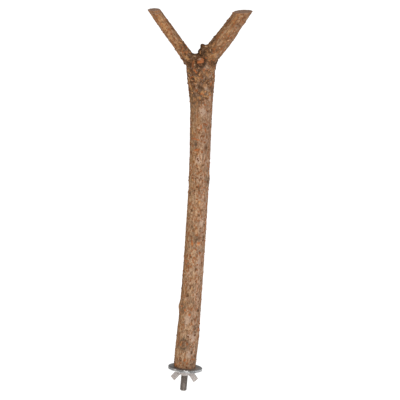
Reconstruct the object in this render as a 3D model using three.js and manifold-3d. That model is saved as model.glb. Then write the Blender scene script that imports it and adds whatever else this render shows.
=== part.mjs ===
// A forked branch perch for a bird cage: a cut Y-shaped branch with its bark on, and the
// screw fixing at its foot. A hanger bolt is screwed up into the foot. Two wide washers
// clamp the cage wires between them, and a wing nut draws the lower one up.
//
// The frame: the origin is on the bolt's axis, in the plane where the two washers meet.
// +Z runs up the bolt's axis into the branch. +X is the side of the thicker arm.
// Both arms lie close to the XZ plane. All sizes are in millimetres.

import * as THREE from "three";
import { mergeVertices } from "three/addons/utils/BufferGeometryUtils.js";
import Module from "manifold-3d";

const wasm = await Module();
wasm.setup();

// ---------------------------------------------------------------- driving dimensions

// The fixing.
const THREAD_RADIUS = 3;
const THREAD_ROOT_RADIUS = 2.4;
const THREAD_PITCH = 1;
const THREAD_SIDES = 14;
const STUD_LENGTH = 20.1; // free length below the plane between the washers
const STUD_CHAMFER = 0.8;
const SHANK_RADIUS = 2.7;
const SHANK_TOP = 34; // height of the shank's point above the plane between the washers
const SHANK_POINT = 5;
const SHANK_SEGMENTS = 24;
const WASHER_RADIUS = 15;
const WASHER_HOLE_RADIUS = 3.3;
const WASHER_THICKNESS = 1.1;
const ROUND_SEGMENTS = 48;

// The wing nut.
const HUB_TOP_RADIUS = 5;
const HUB_END_RADIUS = 3.9;
const HUB_HEIGHT = 5;
const NUT_BORE_RADIUS = 3.2;
const NUT_BORE_OVERSHOOT = 1; // how far the bore's cutter runs past each face of the nut
const WING_THICKNESS = 1.8;
const WING_ROOT_X = 3.6;
const WING_SHOULDER_X = 6.4; // where the wing's outer edge leaves the top of the hub
const WING_TOP_DROP = 0.5; // below the face of the nut
const WING_ROOT_DROP = 4.6;
const WING_OUTER_CORNER = [12, 7.4]; // distance from the axis, drop below the face
const WING_LOWER_CORNER = [8.5, 10.9];

// The branch. Each station is a point of a limb's centre line, with the limb's radius there
// in the plane of the fork. Its flatness is what its depth lacks of being as large.
const STEM_STATIONS = [
  { x: -0.5, y: 0, z: -8, radius: 9.3 },
  { x: -0.6, y: 0, z: 6, radius: 9.5 },
  { x: -0.4, y: 0.6, z: 28, radius: 9.8 },
  { x: -0.4, y: 1.2, z: 50, radius: 9.3 },
  { x: -0.9, y: 2, z: 84, radius: 9 },
  { x: -2, y: 2.4, z: 130, radius: 9 },
  { x: -3.2, y: 2.2, z: 165, radius: 9 },
  { x: -5.3, y: 1.4, z: 205, radius: 9.4 },
  { x: -7.2, y: 0.8, z: 234, radius: 10, flatness: 0.03 },
  { x: -8.9, y: 0.3, z: 252, radius: 11.5, flatness: 0.1 },
  { x: -10.1, y: 0, z: 264, radius: 12.6, flatness: 0.18 },
  { x: -10.8, y: 0, z: 271, radius: 12.3, flatness: 0.18 },
  { x: -12.4, y: 0, z: 276.5, radius: 7.5, flatness: 0.05 },
];
const LEFT_ARM_STATIONS = [
  { x: -11, y: 0, z: 262, radius: 4.8 },
  { x: -19.8, y: 0.7, z: 272.4, radius: 5.6 },
  { x: -27.8, y: 1.6, z: 281.4, radius: 5.1 },
  { x: -42.4, y: 3.6, z: 298.2, radius: 5 },
  { x: -62.5, y: 6, z: 321.5, radius: 4.6 },
];
const RIGHT_ARM_STATIONS = [
  { x: -12, y: 0, z: 262, radius: 7.4 },
  { x: -4.8, y: -0.6, z: 277, radius: 7.8 },
  { x: 5.8, y: -1.9, z: 293.4, radius: 7.8 },
  { x: 14.6, y: -3.2, z: 308.6, radius: 7.2 },
  { x: 26.5, y: -5, z: 330, radius: 6.6 },
];
const STEM_SIDES = 24;
const STEM_RINGS = 58;
const ARM_SIDES = 18;
const ARM_RINGS = 15;
const OUT_OF_ROUND = 0.02;
const OVAL_TWIST = 5; // how far the oval turns over a limb's length, in radians

// Where the branch was sawn off: a point of each cut, and the way the cut face looks.
const FOOT_CUT = { point: [0, 0, WASHER_THICKNESS], normal: [0, 0, -1] };
const LEFT_CUT = { point: [-55.7, 5.2, 313.9], normal: [-0.14, -0.09, 1] };
const RIGHT_CUT = { point: [21.1, -4.2, 321.1], normal: [-0.13, -0.05, 1] };

// Knots: swellings of the stem. The angle turns from +X towards +Y.
const KNOTS = [
  { z: 19, angle: 250, rise: 0.7, spread: 5 },
  { z: 54.5, angle: 188, rise: 1.4, spread: 4 },
  { z: 56, angle: 40, rise: 0.9, spread: 5 },
  { z: 88, angle: 275, rise: 0.6, spread: 4 },
  { z: 116, angle: 262, rise: 0.7, spread: 4 },
  { z: 121, angle: 110, rise: 1, spread: 4.5 },
  { z: 169, angle: 340, rise: 1, spread: 4 },
  { z: 201, angle: 235, rise: 1.1, spread: 4.5 },
  { z: 214, angle: 75, rise: 0.9, spread: 4 },
  { z: 246, angle: 300, rise: 0.9, spread: 5 },
];

// What is left of two twigs: a pruned stub that looks forward and up from the fork, and a
// ragged stump on the inner side of the right arm.
const PRUNED_STUB = [
  { x: -11.4, y: -5, z: 269.5, radius: 3.5 },
  { x: -11.4, y: -9, z: 273, radius: 3.3 },
  { x: -11.4, y: -12.3, z: 276, radius: 2.9 },
];
const BROKEN_STUMP = [
  { x: -5.5, y: -0.5, z: 276, radius: 6 },
  { x: -7.9, y: -0.8, z: 283, radius: 5 },
  { x: -8.6, y: -0.9, z: 288.3, radius: 3.6 },
];
const STUB_SIDES = 10;
const STUB_RINGS = 4;

// The branch is divided at the fork by thin gaps, one across the base of each arm.
const DIVISION_GAP = 0.3;
const LEFT_DIVISION = { point: [-19.4, 0.6, 275], length: 17 };
const RIGHT_DIVISION = { point: [-4.7, -0.7, 277.9], length: 24 };
const DIVISION_DEPTH = 34;

// The bolt's shank stands clear of its bore in the branch all round.
const BORE_GAP = 0.3;
const BORE_OVERSHOOT = 1; // below the plane between the washers

const TRIM_BLOCK = 60; // side of the blocks that trim the ends
const MERGE_DISTANCE = 1e-4; // points closer than this are one point

// ---------------------------------------------------------------- solids

// A manifold solid of a closed three.js geometry.
function solid(geometry) {
  const bare = geometry.index ? geometry.toNonIndexed() : geometry.clone();
  bare.deleteAttribute("normal");
  bare.deleteAttribute("uv");
  const merged = mergeVertices(bare, MERGE_DISTANCE);
  return new wasm.Manifold(
    new wasm.Mesh({
      numProp: 3,
      vertProperties: new Float32Array(merged.attributes.position.array),
      triVerts: new Uint32Array(merged.index.array),
    }),
  );
}

// The three.js geometry of a manifold solid, with flat faces.
function geometryOf(manifold) {
  const mesh = manifold.getMesh();
  const geometry = new THREE.BufferGeometry();
  geometry.setAttribute("position", new THREE.BufferAttribute(mesh.vertProperties, 3));
  geometry.setIndex(new THREE.BufferAttribute(mesh.triVerts, 1));
  const flat = geometry.toNonIndexed();
  flat.computeVertexNormals();
  return flat;
}

// A closed grid: rings of points, joined side to side and closed by a fan at each end.
function closedTube(rings, startCentre, endCentre) {
  const sides = rings[0].length;
  const positions = rings.flat().flatMap((p) => [p.x, p.y, p.z]);
  positions.push(startCentre.x, startCentre.y, startCentre.z);
  positions.push(endCentre.x, endCentre.y, endCentre.z);
  const start = rings.length * sides;
  const end = start + 1;
  const last = (rings.length - 1) * sides;
  const index = [];
  for (let side = 0; side < sides; side += 1) {
    const next = (side + 1) % sides;
    for (let ring = 0; ring < last; ring += sides) {
      index.push(ring + side, ring + next, ring + sides + next);
      index.push(ring + side, ring + sides + next, ring + sides + side);
    }
    index.push(start, next, side);
    index.push(end, last + side, last + next);
  }
  const geometry = new THREE.BufferGeometry();
  geometry.setAttribute("position", new THREE.Float32BufferAttribute(positions, 3));
  geometry.setIndex(index);
  return geometry;
}

// How far the knots push the bark out at a height and an angle round the stem.
function knotRise(z, angle, radius) {
  let rise = 0;
  for (const knot of KNOTS) {
    const turn = THREE.MathUtils.euclideanModulo(
      angle - THREE.MathUtils.degToRad(knot.angle) + Math.PI,
      2 * Math.PI,
    );
    const across = (turn - Math.PI) * radius;
    const along = z - knot.z;
    rise += knot.rise * Math.exp(-(across ** 2 + along ** 2) / (2 * (knot.spread / 2) ** 2));
  }
  return rise;
}

// A limb of the branch: slightly oval rings along a smooth centre line.
function limb(stations, sides, ringCount, bump = () => 0) {
  const line = new THREE.CatmullRomCurve3(
    stations.map((s) => new THREE.Vector3(s.x, s.y, s.z)),
  );
  const sizes = new THREE.SplineCurve(
    stations.map((s) => new THREE.Vector2(s.flatness ?? 0, s.radius)),
  );
  const depthAxis = new THREE.Vector3(0, 1, 0);
  const rings = [];
  for (let i = 0; i < ringCount; i += 1) {
    const u = i / (ringCount - 1);
    const centre = line.getPoint(u);
    const { x: flatness, y: radius } = sizes.getPoint(u);
    const tangent = line.getTangent(u);
    const across = depthAxis.clone().cross(tangent).normalize();
    const deep = tangent.clone().cross(across).normalize();
    const ring = [];
    for (let side = 0; side < sides; side += 1) {
      const angle = (2 * Math.PI * side) / sides;
      const oval = 1 + OUT_OF_ROUND * Math.cos(2 * angle + OVAL_TWIST * u);
      const reach = radius * oval + bump(centre.z, angle, radius);
      ring.push(
        centre
          .clone()
          .addScaledVector(across, reach * Math.cos(angle))
          .addScaledVector(deep, reach * (1 - flatness) * Math.sin(angle)),
      );
    }
    rings.push(ring);
  }
  return solid(closedTube(rings, line.getPoint(0), line.getPoint(1)));
}

// A block whose own +Z is turned to a direction, with its base or its middle at a point.
function turnedBlock(size, point, direction, fromBase) {
  const block = new THREE.BoxGeometry(...size);
  if (fromBase) block.translate(0, 0, size[2] / 2);
  const turn = new THREE.Quaternion().setFromUnitVectors(
    new THREE.Vector3(0, 0, 1),
    new THREE.Vector3(...direction).normalize(),
  );
  block.applyQuaternion(turn);
  block.translate(...point);
  return solid(block);
}

// The direction of a limb's centre line between two of its stations.
function limbDirection(from, to) {
  return [to.x - from.x, to.y - from.y, to.z - from.z];
}

// A body turned about Z from a closed profile of [radius, z] points.
function turned(profile, segments = ROUND_SEGMENTS) {
  const points = profile.map(([radius, z]) => new THREE.Vector2(radius, z));
  const lathe = new THREE.LatheGeometry(points, segments);
  lathe.rotateX(Math.PI / 2);
  return solid(lathe);
}

// A screw thread along Z: each turn has a root and a crest, joined by flanks, and the
// surface climbs one pitch in a turn, as a right-hand thread does.
function thread(bottom, turns) {
  const rowRadii = [THREAD_ROOT_RADIUS, THREAD_ROOT_RADIUS, THREAD_RADIUS, THREAD_RADIUS];
  const perTurn = rowRadii.length;
  const rows = turns * perTurn;
  const positions = [];
  const point = (side, row) => side * (rows + perTurn + 1) + row;
  for (let side = 0; side < THREAD_SIDES; side += 1) {
    const angle = (2 * Math.PI * side) / THREAD_SIDES;
    for (let row = 0; row <= rows + perTurn; row += 1) {
      const radius = rowRadii[row % perTurn];
      const z = bottom + THREAD_PITCH * (row / perTurn + side / THREAD_SIDES);
      positions.push(radius * Math.cos(angle), radius * Math.sin(angle), z);
    }
  }
  const low = positions.length / 3;
  const high = low + 1;
  positions.push(0, 0, bottom, 0, 0, bottom + THREAD_PITCH * (turns + 1));
  // The far side of the last strip is the first column, one turn further up.
  const right = (side, row) =>
    side + 1 < THREAD_SIDES ? point(side + 1, row) : point(0, row + perTurn);
  const index = [];
  for (let side = 0; side < THREAD_SIDES; side += 1) {
    for (let row = 0; row < rows; row += 1) {
      index.push(point(side, row), right(side, row), right(side, row + 1));
      index.push(point(side, row), right(side, row + 1), point(side, row + 1));
    }
    index.push(low, right(side, 0), point(side, 0));
    index.push(high, point(side, rows), right(side, rows));
  }
  for (let row = 0; row < perTurn; row += 1) {
    index.push(low, point(0, row), point(0, row + 1));
    index.push(high, point(0, rows + row + 1), point(0, rows + row));
  }
  const geometry = new THREE.BufferGeometry();
  geometry.setAttribute("position", new THREE.Float32BufferAttribute(positions, 3));
  geometry.setIndex(index);
  return solid(geometry);
}

// ---------------------------------------------------------------- the branch

// The whole grown branch, sawn at the foot and at the two tips.
function grownBranch() {
  const stem = limb(STEM_STATIONS, STEM_SIDES, STEM_RINGS, knotRise);
  const leftArm = limb(LEFT_ARM_STATIONS, ARM_SIDES, ARM_RINGS);
  const rightArm = limb(RIGHT_ARM_STATIONS, ARM_SIDES, ARM_RINGS);
  const stub = limb(PRUNED_STUB, STUB_SIDES, STUB_RINGS);
  const stump = limb(BROKEN_STUMP, STUB_SIDES, STUB_RINGS);
  const limbs = stem.add(leftArm).add(rightArm).add(stub).add(stump);
  const block = [TRIM_BLOCK, TRIM_BLOCK, TRIM_BLOCK];
  return limbs
    .subtract(turnedBlock(block, FOOT_CUT.point, FOOT_CUT.normal, true))
    .subtract(turnedBlock(block, LEFT_CUT.point, LEFT_CUT.normal, true))
    .subtract(turnedBlock(block, RIGHT_CUT.point, RIGHT_CUT.normal, true));
}

// The blind hole that the bolt's shank is screwed into, with room all round the shank.
function shankBore() {
  const radius = SHANK_RADIUS + BORE_GAP;
  return turned([
    [0, -BORE_OVERSHOOT],
    [radius, -BORE_OVERSHOOT],
    [radius, SHANK_TOP - SHANK_POINT],
    [0, SHANK_TOP + 2 * BORE_GAP],
  ]);
}

// The gap across the base of an arm, square to the arm.
function division({ point, length }, stations) {
  const direction = limbDirection(stations[1], stations[2]);
  return turnedBlock([length, DIVISION_DEPTH, DIVISION_GAP], point, direction, false);
}

function branchPieces() {
  const pieces = grownBranch()
    .subtract(shankBore())
    .subtract(division(LEFT_DIVISION, LEFT_ARM_STATIONS))
    .subtract(division(RIGHT_DIVISION, RIGHT_ARM_STATIONS))
    .decompose();
  const middle = (piece) => {
    const box = piece.boundingBox();
    return (box.min[0] + box.max[0]) / 2;
  };
  const [stem, ...arms] = pieces.sort((a, b) => b.volume() - a.volume());
  const [leftArm, rightArm] = arms.sort((a, b) => middle(a) - middle(b));
  return { stem, leftArm, rightArm };
}

// ---------------------------------------------------------------- the fixing

// The hanger bolt: a machine thread below, and a plain pointed shank inside the branch.
function hangerBolt() {
  const threadTop = WASHER_THICKNESS - BORE_GAP;
  const turns = Math.ceil((STUD_LENGTH + threadTop) / THREAD_PITCH) + 1;
  const rod = thread(-STUD_LENGTH - THREAD_PITCH, turns);
  const envelope = turned([
    [0, -STUD_LENGTH],
    [THREAD_RADIUS - STUD_CHAMFER, -STUD_LENGTH],
    [THREAD_RADIUS + BORE_GAP, -STUD_LENGTH + STUD_CHAMFER + BORE_GAP],
    [THREAD_RADIUS + BORE_GAP, threadTop],
    [0, threadTop],
  ]);
  const shank = turned(
    [
      [0, 0],
      [SHANK_RADIUS, 0],
      [SHANK_RADIUS, SHANK_TOP - SHANK_POINT],
      [0, SHANK_TOP],
    ],
    SHANK_SEGMENTS,
  );
  return rod.intersect(envelope).add(shank);
}

// A flat round washer with its upper face at a height.
function washer(top) {
  return turned([
    [WASHER_HOLE_RADIUS, top - WASHER_THICKNESS],
    [WASHER_RADIUS, top - WASHER_THICKNESS],
    [WASHER_RADIUS, top],
    [WASHER_HOLE_RADIUS, top],
    [WASHER_HOLE_RADIUS, top - WASHER_THICKNESS],
  ]);
}

// One wing of the nut: a flat plate with a square end, which slants down and outwards.
function wing(face, side) {
  const corners = [
    [WING_ROOT_X, WING_TOP_DROP],
    [WING_SHOULDER_X, WING_TOP_DROP],
    WING_OUTER_CORNER,
    WING_LOWER_CORNER,
    [WING_ROOT_X, WING_ROOT_DROP],
  ];
  const outline = new THREE.Shape(
    corners.map(([x, drop]) => new THREE.Vector2(side * x, face - drop)),
  );
  const plate = new THREE.ExtrudeGeometry(outline, {
    depth: WING_THICKNESS,
    bevelEnabled: false,
  });
  plate.rotateX(Math.PI / 2);
  plate.translate(0, WING_THICKNESS / 2, 0);
  return solid(plate);
}

// The wing nut: a tapered hub with a clear bore round the stud, and two wings.
function wingNut(face) {
  const end = face - HUB_HEIGHT;
  const hub = turned([
    [0, end],
    [HUB_END_RADIUS, end],
    [HUB_TOP_RADIUS, face],
    [0, face],
  ]);
  const bore = turned([
    [0, end - NUT_BORE_OVERSHOOT],
    [NUT_BORE_RADIUS, end - NUT_BORE_OVERSHOOT],
    [NUT_BORE_RADIUS, face + NUT_BORE_OVERSHOOT],
    [0, face + NUT_BORE_OVERSHOOT],
  ]);
  return hub.add(wing(face, 1)).add(wing(face, -1)).subtract(bore);
}

// ---------------------------------------------------------------- the assembly

const bark = new THREE.MeshStandardMaterial({ color: 0x8f6d4e, roughness: 0.9, metalness: 0 });
const steel = new THREE.MeshStandardMaterial({ color: 0x5e564f, roughness: 0.5, metalness: 1 });
const zinc = new THREE.MeshStandardMaterial({ color: 0x9c9da0, roughness: 0.4, metalness: 1 });
const castZinc = new THREE.MeshStandardMaterial({ color: 0xb9b1ad, roughness: 0.6, metalness: 1 });

function node(name, manifold, material) {
  const mesh = new THREE.Mesh(geometryOf(manifold), material);
  mesh.name = name;
  return mesh;
}

const perch = new THREE.Group();
perch.name = "forked_branch_perch";
const branch = branchPieces();
perch.add(node("stem", branch.stem, bark));
perch.add(node("left_arm", branch.leftArm, bark));
perch.add(node("right_arm", branch.rightArm, bark));
perch.add(node("hanger_bolt", hangerBolt(), steel));
perch.add(node("upper_washer", washer(WASHER_THICKNESS), zinc));
perch.add(node("lower_washer", washer(0), zinc));
perch.add(node("wing_nut", wingNut(-WASHER_THICKNESS), castZinc));

export default perch;
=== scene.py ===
import math

import bmesh
import bpy
import numpy as np
from mathutils import Matrix, Vector


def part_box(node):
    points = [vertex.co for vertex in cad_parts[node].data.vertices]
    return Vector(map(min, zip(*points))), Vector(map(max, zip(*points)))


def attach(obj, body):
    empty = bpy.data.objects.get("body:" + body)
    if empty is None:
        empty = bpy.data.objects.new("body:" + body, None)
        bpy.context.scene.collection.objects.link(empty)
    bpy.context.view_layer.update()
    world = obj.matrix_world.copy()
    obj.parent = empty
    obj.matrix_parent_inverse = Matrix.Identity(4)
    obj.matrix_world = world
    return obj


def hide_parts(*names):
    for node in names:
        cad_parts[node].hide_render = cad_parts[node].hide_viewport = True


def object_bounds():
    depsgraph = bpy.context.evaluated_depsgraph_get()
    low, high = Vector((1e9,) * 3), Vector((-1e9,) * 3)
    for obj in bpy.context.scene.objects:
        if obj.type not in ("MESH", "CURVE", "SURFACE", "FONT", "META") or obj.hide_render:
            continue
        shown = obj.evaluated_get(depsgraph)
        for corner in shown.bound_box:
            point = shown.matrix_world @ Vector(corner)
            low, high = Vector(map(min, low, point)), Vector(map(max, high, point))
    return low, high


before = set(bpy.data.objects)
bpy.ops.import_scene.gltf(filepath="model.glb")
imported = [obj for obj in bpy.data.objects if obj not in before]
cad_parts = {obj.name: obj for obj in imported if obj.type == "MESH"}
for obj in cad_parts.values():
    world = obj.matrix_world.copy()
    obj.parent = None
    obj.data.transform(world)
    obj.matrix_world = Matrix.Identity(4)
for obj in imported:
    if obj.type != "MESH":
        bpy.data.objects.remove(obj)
cad_low, cad_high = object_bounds()

# ---------------------------------------------------------------- the branch
# One grown piece of wood with its bark left on, sawn off at the foot and at the tips of its
# two arms. The CAD holds it as a stem and two arms. Here they are one unbroken skin, wrinkled
# along the grain, ringed round the knots, and flaky and dark where the limbs part.

MM = 0.001
SKIN_GRID = 0.56 * MM
BOLT_ROOM = 3.6 * MM  # the bolt's hole lies within this of its axis
SKIN_ROUNDING = 28
SPLICE = 0.8 * MM  # how far an arm's base is sunk into the wood below it
LIMBS = ("stem", "left_arm", "right_arm")


def merged_copy(node):
    """A CAD node's loose triangles as one closed mesh."""
    bm = bmesh.new()
    bm.from_mesh(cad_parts[node].data)
    bmesh.ops.remove_doubles(bm, verts=bm.verts, dist=0.001 * MM)
    bm.normal_update()
    return bm


def growth(bm):
    """The middle of a limb, and the way it grows: the long axis of its points, turned up."""
    points = np.array([v.co for v in bm.verts])
    middle = points.mean(0)
    axes = np.linalg.svd(points - middle, full_matrices=False)[2]
    return middle, axes[0] * np.sign(axes[0][2])


def sawn_face(bm):
    """A point and the normal of the flat face at the top of an arm."""
    top = max(v.co.z for v in bm.verts)
    faces = [f for f in bm.faces if f.normal.z > 0.9 and top - f.calc_center_median().z < 4 * MM]
    areas = np.array([f.calc_area() for f in faces])
    normal = (areas[:, None] * np.array([f.normal for f in faces])).sum(0)
    middle = (areas[:, None] * np.array([f.calc_center_median() for f in faces])).sum(0)
    return middle / areas.sum(), normal / np.linalg.norm(normal)


def read_points(mesh):
    flat = np.empty(len(mesh.vertices) * 3)
    mesh.vertices.foreach_get("co", flat)
    return flat.reshape(-1, 3)


def read_edges(mesh):
    flat = np.empty(len(mesh.edges) * 2, dtype=np.int32)
    mesh.edges.foreach_get("vertices", flat)
    return flat.reshape(-1, 2)


def read_normals(mesh):
    flat = np.empty(len(mesh.vertices) * 3)
    mesh.vertex_normals.foreach_get("vector", flat)
    return flat.reshape(-1, 3)


def evened(points, edges, hold, rounds):
    """Draws points towards their neighbours and pushes them back, which evens out the facets
    and keeps the bulk."""
    count = np.bincount(edges.ravel(), minlength=len(points))
    for pull in (0.6, -0.62) * rounds:
        for axis in range(3):
            line = points[:, axis]
            near = np.bincount(edges[:, 0], line[edges[:, 1]], len(points))
            near += np.bincount(edges[:, 1], line[edges[:, 0]], len(points))
            points[:, axis] = line + pull * hold * (near / count - line)
    return points


def remeshed(obj, grid):
    """One even skin round everything in an object's mesh."""
    skin = obj.modifiers.new("one_skin", "REMESH")
    skin.mode = "VOXEL"
    skin.voxel_size = grid
    depsgraph = bpy.context.evaluated_depsgraph_get()
    mesh = bpy.data.meshes.new_from_object(obj.evaluated_get(depsgraph))
    obj.modifiers.remove(skin)
    return mesh


def new_piece(name, mesh):
    piece = bpy.data.objects.new(name, mesh)
    bpy.context.scene.collection.objects.link(piece)
    return piece


joined = bmesh.new()
arm_line = {}
cut_planes = [(np.array([0, 0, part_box("stem")[0].z]), np.array([0, 0, -1.0]))]
bolt_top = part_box("hanger_bolt")[1].z
for limb in LIMBS:
    limb_mesh = merged_copy(limb)
    if limb == "stem":
        bore = [
            v
            for v in limb_mesh.verts
            if math.hypot(v.co.x, v.co.y) < BOLT_ROOM and v.co.z < bolt_top + MM
        ]
        bmesh.ops.delete(limb_mesh, geom=bore, context="VERTS")
        rim = [e for e in limb_mesh.edges if e.is_boundary]
        bmesh.ops.holes_fill(limb_mesh, edges=rim)
    else:
        arm_line[limb] = growth(limb_mesh)
        cut_planes.append(sawn_face(limb_mesh))
        upward = Vector(arm_line[limb][1])
        base = {v for f in limb_mesh.faces if f.normal.dot(upward) < -0.9 for v in f.verts}
        for v in base:
            v.co -= upward * SPLICE
    part_of_branch = bpy.data.meshes.new(limb)
    limb_mesh.to_mesh(part_of_branch)
    limb_mesh.free()
    joined.from_mesh(part_of_branch)
    bpy.data.meshes.remove(part_of_branch)

rough_mesh = bpy.data.meshes.new("branch_rough")
joined.to_mesh(rough_mesh)
joined.free()
branch = new_piece("branch", rough_mesh)
branch.data = remeshed(branch, SKIN_GRID)
bpy.data.meshes.remove(rough_mesh)

skin_points = read_points(branch.data)
skin_edges = read_edges(branch.data)
to_cut = np.min([np.abs((skin_points - p) @ n) for p, n in cut_planes], axis=0)
loose = np.clip((to_cut - 0.4 * MM) / (0.6 * MM), 0, 1)
skin_points = evened(skin_points, skin_edges, loose, SKIN_ROUNDING)
branch.data.vertices.foreach_set("co", skin_points.ravel())
branch.data.update()
skin_normals = read_normals(branch.data)


# Every limb is laid out straight along Z, so that one set of coordinates follows the grain:
# where a point of the bark lies round the limb, and how far along it.


def eased(value, start, end):
    """0 before start, 1 after end, and a smooth rise between them."""
    share = np.clip((value - start) / (end - start), 0, 1)
    return share * share * (3 - 2 * share)


def near(distance, full, none):
    """1 where a distance is under full, 0 where it is over none, and a smooth fall between."""
    return eased(-distance, -none, -full)


def crossing(lines):
    """The point midway between two lines where they pass nearest each other."""
    (a, u), (b, v) = lines
    across = np.cross(u, v)
    system = np.column_stack([u, -v, across])
    along_u, along_v, _ = np.linalg.solve(system, b - a)
    return (a + along_u * u + b + along_v * v) / 2


def straightened(points, fork, direction, amount):
    """Points turned about the fork, by a share of the turn that brings a limb upright."""
    axis = np.cross(direction, [0, 0, 1])
    sine = np.linalg.norm(axis)
    axis = axis / sine
    angle = (math.atan2(sine, direction[2]) * amount)[:, None]
    arm = points - fork
    turned = arm * np.cos(angle) + np.cross(axis, arm) * np.sin(angle)
    return fork + turned + axis * (arm @ axis)[:, None] * (1 - np.cos(angle))


def limb_middles(points, members, step):
    """Heights along a limb and the middle of its slice at each, smoothed."""
    heights = points[members, 2]
    levels = np.arange(heights.min() + step, heights.max() - step / 2, step)
    rows = []
    for level in levels:
        ring = points[members][np.abs(heights - level) < step / 2]
        rows.append((ring.min(0)[:2] + ring.max(0)[:2]) / 2)
    return levels, np.array(rows)


SLICE = 5 * MM
FORK_BLEND = (2 * MM, 15 * MM)

fork_point = crossing([arm_line[limb] for limb in LIMBS[1:]])
past_fork = np.stack([(skin_points - fork_point) @ arm_line[limb][1] for limb in LIMBS[1:]])
arm_share = eased(past_fork, *FORK_BLEND)
arm_share[0, past_fork[0] <= past_fork[1]] = 0
arm_share[1, past_fork[1] < past_fork[0]] = 0
upright = skin_points.copy()
for share, limb in zip(arm_share, LIMBS[1:]):
    leaning = share > 0
    upright[leaning] = straightened(
        skin_points[leaning], fork_point, arm_line[limb][1], share[leaning]
    )

stem_part = arm_share.sum(0) == 0
middle_line = np.zeros((len(skin_points), 2))
for share, members in (
    (1 - arm_share.sum(0), stem_part),
    (arm_share[0], arm_share[0] > 0.98),
    (arm_share[1], arm_share[1] > 0.98),
):
    levels, middles = limb_middles(upright, members, SLICE)
    for axis in range(2):
        middle_line[:, axis] += share * np.interp(upright[:, 2], levels, middles[:, axis])

grain = upright.copy()
grain[:, :2] -= middle_line
turn = np.arctan2(grain[:, 1], grain[:, 0])
reach = np.hypot(grain[:, 0], grain[:, 1])
height = grain[:, 2]


# The wrinkles, plates and rings of the bark are heights added along the skin's normals.


NOISE_CELLS = 256  # how many random values the noise has before it repeats


def picked(shuffle, cell):
    """One of the random values for each cell, the same one whenever the cell is the same."""
    x, y, z = (cell & (NOISE_CELLS - 1)).T
    return shuffle[shuffle[shuffle[x] + y] + z]


def swell(points, seed):
    """A smooth random height of about -1 to 1, one wave to a unit of length."""
    dice = np.random.default_rng(seed)
    shuffle = np.tile(dice.permutation(NOISE_CELLS), 2)
    slopes = dice.normal(size=(NOISE_CELLS, 3))
    slopes /= np.linalg.norm(slopes, axis=1)[:, None]
    cell = np.floor(points).astype(int)
    inside = points - cell
    fade = inside**3 * (inside * (inside * 6 - 15) + 10)
    total = np.zeros(len(points))
    for corner in np.ndindex(2, 2, 2):
        pick = picked(shuffle, cell + corner)
        weight = np.where(corner, fade, 1 - fade).prod(1)
        total += weight * ((inside - corner) * slopes[pick]).sum(1)
    return total * 1.6  # brings the highest to about 1


def plates(points, seed):
    """Bark broken into plates: a random height for each, and the distance to the next."""
    dice = np.random.default_rng(seed)
    shuffle = np.tile(dice.permutation(NOISE_CELLS), 2)
    middles = dice.random((NOISE_CELLS, 3))
    heights = dice.uniform(-1, 1, NOISE_CELLS)
    cell = np.floor(points).astype(int)
    nearest = np.full(len(points), 9.0)
    second = np.full(len(points), 9.0)
    level = np.zeros(len(points))
    for corner in np.ndindex(3, 3, 3):
        here = cell + np.array(corner) - 1
        pick = picked(shuffle, here)
        away = np.linalg.norm(here + middles[pick] - points, axis=1)
        closer = away < nearest
        second = np.where(closer, nearest, np.minimum(second, away))
        level = np.where(closer, heights[pick], level)
        nearest = np.where(closer, away, nearest)
    return level, second - nearest


def along_grain(across, along):
    """The grain coordinates with one unit to so many millimetres across and along."""
    return grain / (np.array([across, across, along]) * MM)


def aside_and_up(at_height, angle):
    """How far each point lies round the stem and up it from a spot on its bark, in mm."""
    aside = (turn - math.radians(angle) + math.pi) % (2 * math.pi) - math.pi
    return aside * reach / MM, height / MM - at_height


def spot(at_height, angle, across, along, slant):
    """1 in an irregular patch of the stem's bark and 0 outside. Sizes are half widths."""
    aside, up = aside_and_up(at_height, angle)
    aside, up = aside + slant * up, up - slant * aside
    distance = np.hypot(aside / across, up / along)
    return near(distance + 0.5 * ragged, 0.55, 1.3)


# Knots: height up the stem, angle round it from +X towards +Y, size, in mm and degrees, and how
# dark the rings round the knot are.
KNOTS = (
    (23, 250, 5.2, 0.9),
    (37.5, 308, 3.6, 0.6),
    (54.5, 224, 3.9, 0.9),
    (56, 40, 4.4, 0.7),
    (88, 170, 3.5, 0.5),
    (117, 279, 3, 0.7),
    (121, 110, 4.4, 0.6),
    (168.5, 328, 4.2, 0.5),
    (201, 247, 4.6, 0.3),
    (214, 75, 4.4, 0.6),
    (246.5, 295, 4.4, 0.4),
)

# Dark scars, rusty chafes, golden chips and pale patches on the front of the stem: height,
# angle, half width, half length and slant.
DARK_SCARS = (
    (9.8, 240, 0.9, 2.9, 0.45),
    (16, 300, 1.2, 1.6, 0),
    (44, 283, 0.7, 1.6, 0),
    (53.5, 320, 1.8, 1.6, 0),
    (66, 250, 0.8, 1.4, 0),
    (74.3, 260, 0.6, 2.4, 0),
    (83, 304, 0.8, 1.2, 0),
    (90.6, 283, 1.3, 1.5, 0),
    (101, 252, 0.9, 1.2, 0),
    (119, 322, 1.3, 1.5, 0),
    (128, 245, 0.8, 1.3, 0),
    (138.3, 281, 1.2, 1.2, 0),
    (142, 239, 1.2, 1.1, 0),
    (143.1, 298, 1.2, 1.2, 0),
    (156.2, 216, 1.5, 1.9, 0),
    (160, 247, 0.8, 1.1, 0),
    (163.3, 262, 0.9, 1.3, 0),
    (171.5, 251, 0.6, 2.2, 0),
    (183, 290, 0.9, 1.2, 0),
    (198.4, 309, 1.2, 1.6, 0),
    (212, 262, 0.9, 1.6, 0.2),
    (219, 262, 0.7, 0.8, 0),
    (216, 315, 0.7, 1, 0),
)
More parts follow.
